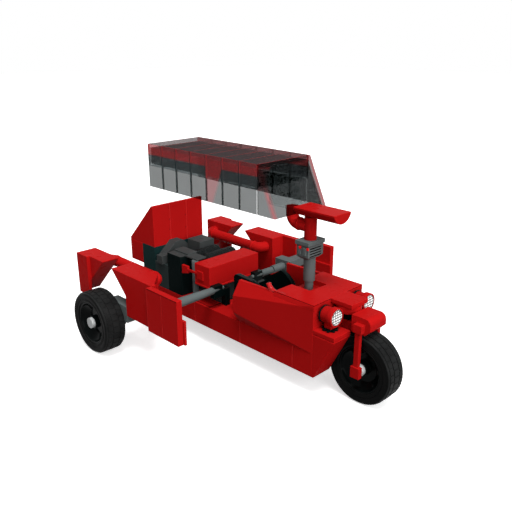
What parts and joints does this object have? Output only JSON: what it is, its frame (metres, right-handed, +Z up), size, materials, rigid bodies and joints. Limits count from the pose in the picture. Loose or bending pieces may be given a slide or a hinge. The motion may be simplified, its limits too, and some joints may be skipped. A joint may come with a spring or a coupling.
{
  "type": "brick-built toy three wheeled car",
  "caption": "Brick-built toy three wheeler with a forked front wheel, outboard rear wheels, open cockpit and a smoked canopy on a column.",
  "frame": {"origin": "on the floor under the middle of the car's length and width", "axes": "+X to the nose, +Y to the car's left, +Z up"},
  "size_m": [0.2356, 0.1768, 0.1404],
  "materials": {
    "red": "glossy moulded plastic",
    "tyre_rubber": "black rubber",
    "rim_black": "glossy black plastic",
    "pale_grey": "pale grey plastic",
    "teal_grey": "blue-grey plastic",
    "dark_grey": "dark grey plastic",
    "gloss_black": "glossy black plastic",
    "smoke_clear": "smoked clear plastic",
    "red_clear": "red clear plastic",
    "lamp_clear": "clear plastic"
  },
  "bodies": {
    "chassis": {"arm_clamps": "gloss_black", "branch_tube": "red", "bulkhead": "dark_grey", "canopy_band": "red_clear", "canopy_front": "smoke_clear", "canopy_rear": "smoke_clear", "canopy_tie": "smoke_clear", "chin_blocks": "red", "cockpit_handle": "red", "column_cap": "red", "column_foot": "teal_grey", "column_tube": "red", "control_box": "teal_grey", "cross_arms": "teal_grey", "deck_tile": "red", "engine_box": "red", "engine_box_stand": "dark_grey", "engine_covers": "dark_grey", "engine_drums": "dark_grey", "engine_post": "teal_grey", "engine_sump": "dark_grey", "engine_tower": "gloss_black", "fender_fronts": "red", "fender_panels": "red", "fender_tails": "red", "fork_blades": "red", "fork_block": "red", "fork_dish": "red", "fork_head": "red", "fork_pin": "gloss_black", "front_axle_pin": "pale_grey", "front_beam": "red", "headlamp_backs": "gloss_black", "headlamp_clips": "gloss_black", "headlamp_housings": "red", "headlamp_lenses": "lamp_clear", "headlamp_stands": "red", "hood_block": "red", "hood_tile": "red", "left_side_panel": "red", "mid_beam": "red", "nose_plate": "red", "rear_axle_beam": "dark_grey", "rear_axle_pins": "pale_grey", "rear_beam": "dark_grey", "rear_knuckles": "teal_grey", "rear_slope": "red", "right_side_panel": "red", "seat": "gloss_black", "service_lever": "red", "side_pipes": "red", "tail_block": "red", "tower_cap": "dark_grey", "windscreen": "smoke_clear"},
    "front_wheel": {"front_tyre": "tyre_rubber", "front_rim": "rim_black"},
    "left_wheel": {"left_tyre": "tyre_rubber", "left_rim": "rim_black"},
    "right_wheel": {"right_tyre": "tyre_rubber", "right_rim": "rim_black"}
  },
  "joints": [
    {"name": "front_wheel_spin", "type": "hinge", "parent": "chassis", "child": "front_wheel", "pos_m": [0.0953, 0, 0.0225], "axis": [0, 1, 0], "continuous": true},
    {"name": "left_wheel_spin", "type": "hinge", "parent": "chassis", "child": "left_wheel", "pos_m": [-0.0774, 0.0806, 0.0225], "axis": [0, 1, 0], "continuous": true},
    {"name": "right_wheel_spin", "type": "hinge", "parent": "chassis", "child": "right_wheel", "pos_m": [-0.0774, -0.0806, 0.0225], "axis": [0, 1, 0], "continuous": true}
  ]
}
